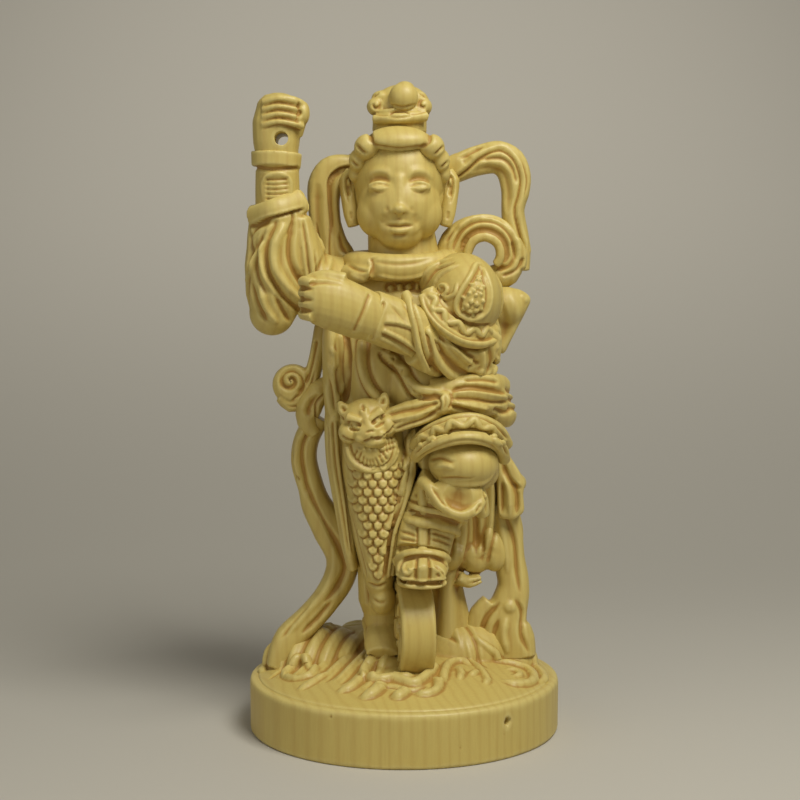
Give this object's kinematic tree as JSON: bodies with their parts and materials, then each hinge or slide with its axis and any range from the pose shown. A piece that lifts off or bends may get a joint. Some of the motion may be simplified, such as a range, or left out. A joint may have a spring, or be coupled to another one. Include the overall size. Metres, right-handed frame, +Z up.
{
  "type": "carved guardian figure",
  "caption": "Carved boxwood figure of a young guardian with raised arm, flying ribbons and one foot on a wheel, on a round base; the raised fist is bored for a staff.",
  "frame": {"origin": "centre of the base's underside", "axes": "+Z up; -Y is the way the figure faces; +X is towards the figure's own left arm, which is on the right seen from the front"},
  "size_m": [0.0542, 0.0542, 0.1116],
  "materials": {
    "boxwood": "satin, hand-carved, darker in the recesses"
  },
  "bodies": {
    "root": {"base_disc": "boxwood", "ground_mound": "boxwood", "flame_scrolls": "boxwood", "foot_wheel": "boxwood", "left_boot": "boxwood", "left_shin": "boxwood", "left_knee": "boxwood", "knee_cloth": "boxwood", "left_thigh": "boxwood", "thigh_guard_trim": "boxwood", "right_boot": "boxwood", "right_shin": "boxwood", "scale_skirt": "boxwood", "robe_skirt": "boxwood", "robe_front_edge": "boxwood", "torso": "boxwood", "beast_buckle": "boxwood", "apron_plate": "boxwood", "waist_sash": "boxwood", "sash_knot": "boxwood", "hip_tab": "boxwood", "right_sleeve": "boxwood", "right_forearm": "boxwood", "right_wrist_band": "boxwood", "right_fist": "boxwood", "left_forearm": "boxwood", "left_wrist_band": "boxwood", "left_fist": "boxwood", "left_sleeve": "boxwood", "left_shoulder_guard": "boxwood", "shoulder_wing": "boxwood", "collar": "boxwood", "neck": "boxwood", "head": "boxwood", "ears": "boxwood", "hair": "boxwood", "hair_knot": "boxwood", "crown_jewel": "boxwood", "ribbon_arch_right": "boxwood", "ribbon_arch_left": "boxwood", "ribbon_nape": "boxwood", "shoulder_scroll": "boxwood", "hip_scroll": "boxwood", "hip_leaf": "boxwood", "ribbon_tail_right": "boxwood", "ribbon_tail_left": "boxwood", "back_cape": "boxwood"}
  },
  "joints": []
}
